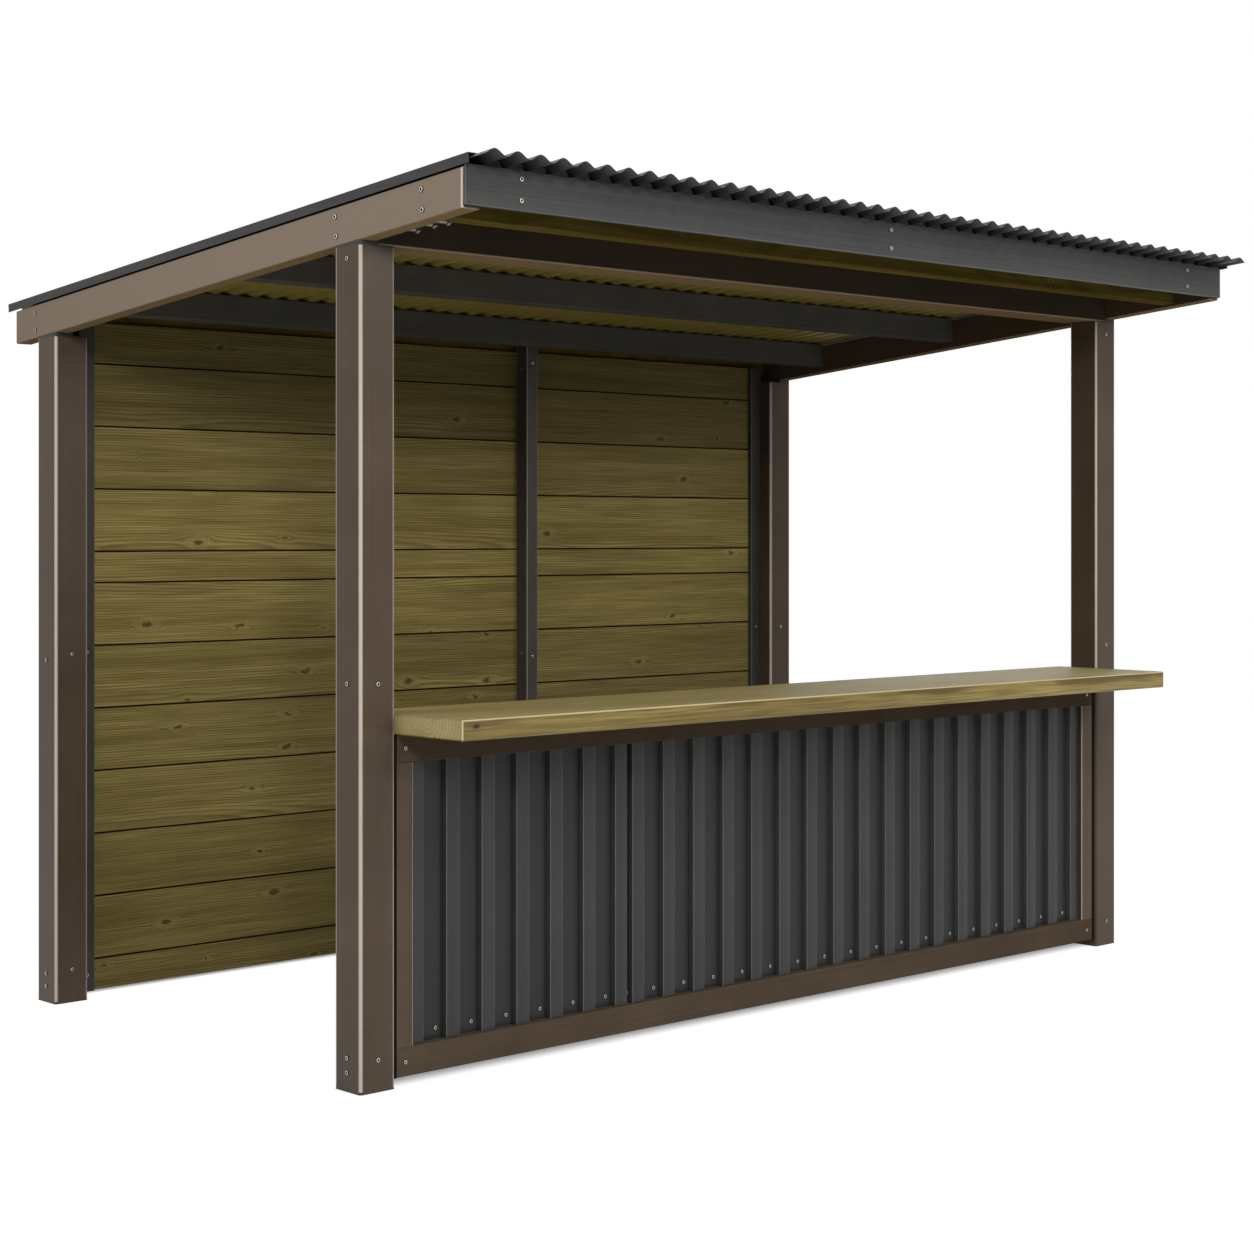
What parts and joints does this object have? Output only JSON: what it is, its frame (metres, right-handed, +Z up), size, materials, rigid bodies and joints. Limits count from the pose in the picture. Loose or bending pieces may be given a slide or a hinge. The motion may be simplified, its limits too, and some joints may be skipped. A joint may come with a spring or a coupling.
{
  "type": "garden bar",
  "caption": "Open garden bar: bronze metal posts, raked roof of corrugated sheet, boarded back wall, box-profile bar front under a thick timber counter.",
  "frame": {"origin": "on the ground under the middle of the whole bar's box", "axes": "+X along the bar to the right, +Y from the counter side to the back wall, +Z up"},
  "size_m": [3.5566, 2.5568, 2.5575],
  "materials": {
    "bronze_paint": "satin bronze powder coat",
    "anthracite_sheet": "satin anthracite coated sheet",
    "dark_steel": "satin dark paint",
    "wall_timber": "olive-stained planed softwood",
    "counter_timber": "oiled planed softwood"
  },
  "bodies": {
    "root": {"front_left_post": "bronze_paint", "front_right_post": "bronze_paint", "back_left_post": "bronze_paint", "back_right_post": "bronze_paint", "front_left_foot": "bronze_paint", "front_right_foot": "bronze_paint", "back_left_foot": "bronze_paint", "back_right_foot": "bronze_paint", "left_rafter": "bronze_paint", "right_rafter": "bronze_paint", "left_rafter_cap": "bronze_paint", "right_rafter_cap": "bronze_paint", "front_beam": "bronze_paint", "top_rail": "bronze_paint", "bottom_rail": "bronze_paint", "left_stile": "bronze_paint", "right_stile": "bronze_paint", "roof_sheet_1": "anthracite_sheet", "roof_sheet_2": "anthracite_sheet", "roof_sheet_3": "anthracite_sheet", "roof_sheet_4": "anthracite_sheet", "front_fascia": "anthracite_sheet", "left_verge_trim": "anthracite_sheet", "right_verge_trim": "anthracite_sheet", "left_cladding": "anthracite_sheet", "right_cladding": "anthracite_sheet", "front_left_seat": "dark_steel", "front_right_seat": "dark_steel", "back_left_seat": "dark_steel", "back_right_seat": "dark_steel", "middle_purlin": "dark_steel", "rear_purlin": "dark_steel", "left_wall_stud": "dark_steel", "middle_wall_stud": "dark_steel", "right_wall_stud": "dark_steel", "front_purlin": "wall_timber", "back_purlin": "wall_timber", "left_wall_boards": "wall_timber", "right_wall_boards": "wall_timber", "counter_top": "counter_timber"}
  },
  "joints": []
}
